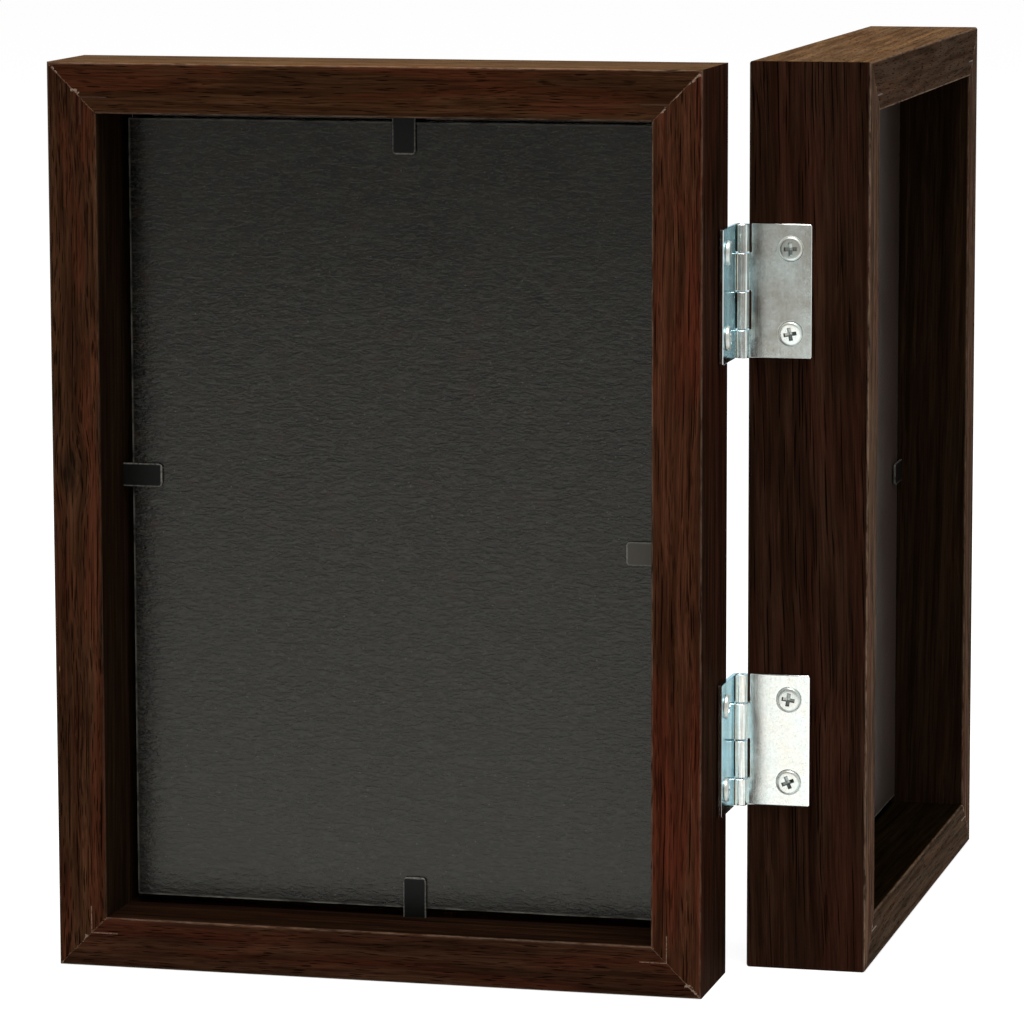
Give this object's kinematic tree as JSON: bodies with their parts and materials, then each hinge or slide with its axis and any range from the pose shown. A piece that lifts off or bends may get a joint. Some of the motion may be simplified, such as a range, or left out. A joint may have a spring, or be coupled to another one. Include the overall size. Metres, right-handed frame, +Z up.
{
  "type": "bifold photo frame",
  "caption": "Two deep brown wooden box frames joined along one side by small butt hinges; they stand upright and fold from flat to face to face.",
  "frame": {"origin": "centre of the footprint of the pair folded to a right angle, on the surface that it stands on", "axes": "+Z up; the left frame shows its back towards -Y and its front towards +Y; the right frame shows its back towards +X and its front towards -X"},
  "size_m": [0.1526, 0.1554, 0.174],
  "materials": {
    "stained_wood": "dark reddish-brown stain, satin, open pores",
    "clear_glass": "clear and polished",
    "blank_paper": "matt, blank",
    "backing_fibreboard": "dark grey fibreboard, matt, lightly textured",
    "black_spring_steel": "black, semi-gloss",
    "nail_steel": "dull steel",
    "zinc_plated_steel": "bright zinc plating",
    "pin_steel": "bright zinc plating",
    "screw_steel": "bright zinc plating"
  },
  "bodies": {
    "left_frame": {"left_top_rail": "stained_wood", "left_bottom_rail": "stained_wood", "left_hinge_stile": "stained_wood", "left_outer_stile": "stained_wood", "left_glass": "clear_glass", "left_blank_print": "blank_paper", "left_backing_board": "backing_fibreboard", "left_top_tab_shank": "black_spring_steel", "left_bottom_tab_shank": "black_spring_steel", "left_hinge_tab_shank": "black_spring_steel", "left_outer_tab_shank": "black_spring_steel", "left_top_hinge_corner_nail": "nail_steel", "left_top_outer_corner_nail": "nail_steel", "left_bottom_hinge_corner_nail": "nail_steel", "left_bottom_outer_corner_nail": "nail_steel", "upper_hinge_left_leaf": "zinc_plated_steel", "upper_hinge_left_leaf_first_screw": "screw_steel", "upper_hinge_left_leaf_second_screw": "screw_steel", "upper_hinge_pin": "pin_steel", "lower_hinge_left_leaf": "zinc_plated_steel", "lower_hinge_left_leaf_first_screw": "screw_steel", "lower_hinge_left_leaf_second_screw": "screw_steel", "lower_hinge_pin": "pin_steel"},
    "right_frame": {"right_top_rail": "stained_wood", "right_bottom_rail": "stained_wood", "right_hinge_stile": "stained_wood", "right_outer_stile": "stained_wood", "right_glass": "clear_glass", "right_blank_print": "blank_paper", "right_backing_board": "backing_fibreboard", "right_top_tab_shank": "black_spring_steel", "right_bottom_tab_shank": "black_spring_steel", "right_hinge_tab_shank": "black_spring_steel", "right_outer_tab_shank": "black_spring_steel", "right_top_hinge_corner_nail": "nail_steel", "right_top_outer_corner_nail": "nail_steel", "right_bottom_hinge_corner_nail": "nail_steel", "right_bottom_outer_corner_nail": "nail_steel", "upper_hinge_right_leaf": "zinc_plated_steel", "upper_hinge_right_leaf_first_screw": "screw_steel", "upper_hinge_right_leaf_second_screw": "screw_steel", "lower_hinge_right_leaf": "zinc_plated_steel", "lower_hinge_right_leaf_first_screw": "screw_steel", "lower_hinge_right_leaf_second_screw": "screw_steel"},
    "left_top_tab": {"left_top_tab": "black_spring_steel"},
    "left_bottom_tab": {"left_bottom_tab": "black_spring_steel"},
    "left_hinge_tab": {"left_hinge_tab": "black_spring_steel"},
    "left_outer_tab": {"left_outer_tab": "black_spring_steel"},
    "right_top_tab": {"right_top_tab": "black_spring_steel"},
    "right_bottom_tab": {"right_bottom_tab": "black_spring_steel"},
    "right_hinge_tab": {"right_hinge_tab": "black_spring_steel"},
    "right_outer_tab": {"right_outer_tab": "black_spring_steel"}
  },
  "joints": [
    {"name": "fold", "type": "hinge", "parent": "left_frame", "child": "right_frame", "pos_m": [0.052, -0.05065, 0.087], "axis": [0, 0, 1], "range_deg": [-90, 92]},
    {"name": "left_top_tab_bend", "type": "hinge", "parent": "left_frame", "child": "left_top_tab", "pos_m": [-0.01026, -0.06365, 0.1638], "axis": [-1, 0, 0], "range_deg": [0, 85]},
    {"name": "left_bottom_tab_bend", "type": "hinge", "parent": "left_frame", "child": "left_bottom_tab", "pos_m": [-0.00898, -0.06365, 0.0102], "axis": [1, 0, 0], "range_deg": [0, 85]},
    {"name": "left_hinge_tab_bend", "type": "hinge", "parent": "left_frame", "child": "left_hinge_tab", "pos_m": [0.04, -0.06365, 0.0819], "axis": [0, 0, 1], "range_deg": [0, 85]},
    {"name": "left_outer_tab_bend", "type": "hinge", "parent": "left_frame", "child": "left_outer_tab", "pos_m": [-0.0661, -0.06365, 0.09396], "axis": [0, 0, -1], "range_deg": [0, 85]},
    {"name": "right_top_tab_bend", "type": "hinge", "parent": "right_frame", "child": "right_top_tab", "pos_m": [0.0623, 0.01654, 0.1638], "axis": [0, -1, 0], "range_deg": [0, 85]},
    {"name": "right_bottom_tab_bend", "type": "hinge", "parent": "right_frame", "child": "right_bottom_tab", "pos_m": [0.0623, 0.01279, 0.0102], "axis": [0, 1, 0], "range_deg": [0, 85]},
    {"name": "right_hinge_tab_bend", "type": "hinge", "parent": "right_frame", "child": "right_hinge_tab", "pos_m": [0.0623, -0.03865, 0.09164], "axis": [0, 0, -1], "range_deg": [0, 85]},
    {"name": "right_outer_tab_bend", "type": "hinge", "parent": "right_frame", "child": "right_outer_tab", "pos_m": [0.0623, 0.06745, 0.08113], "axis": [0, 0, 1], "range_deg": [0, 85]}
  ]
}
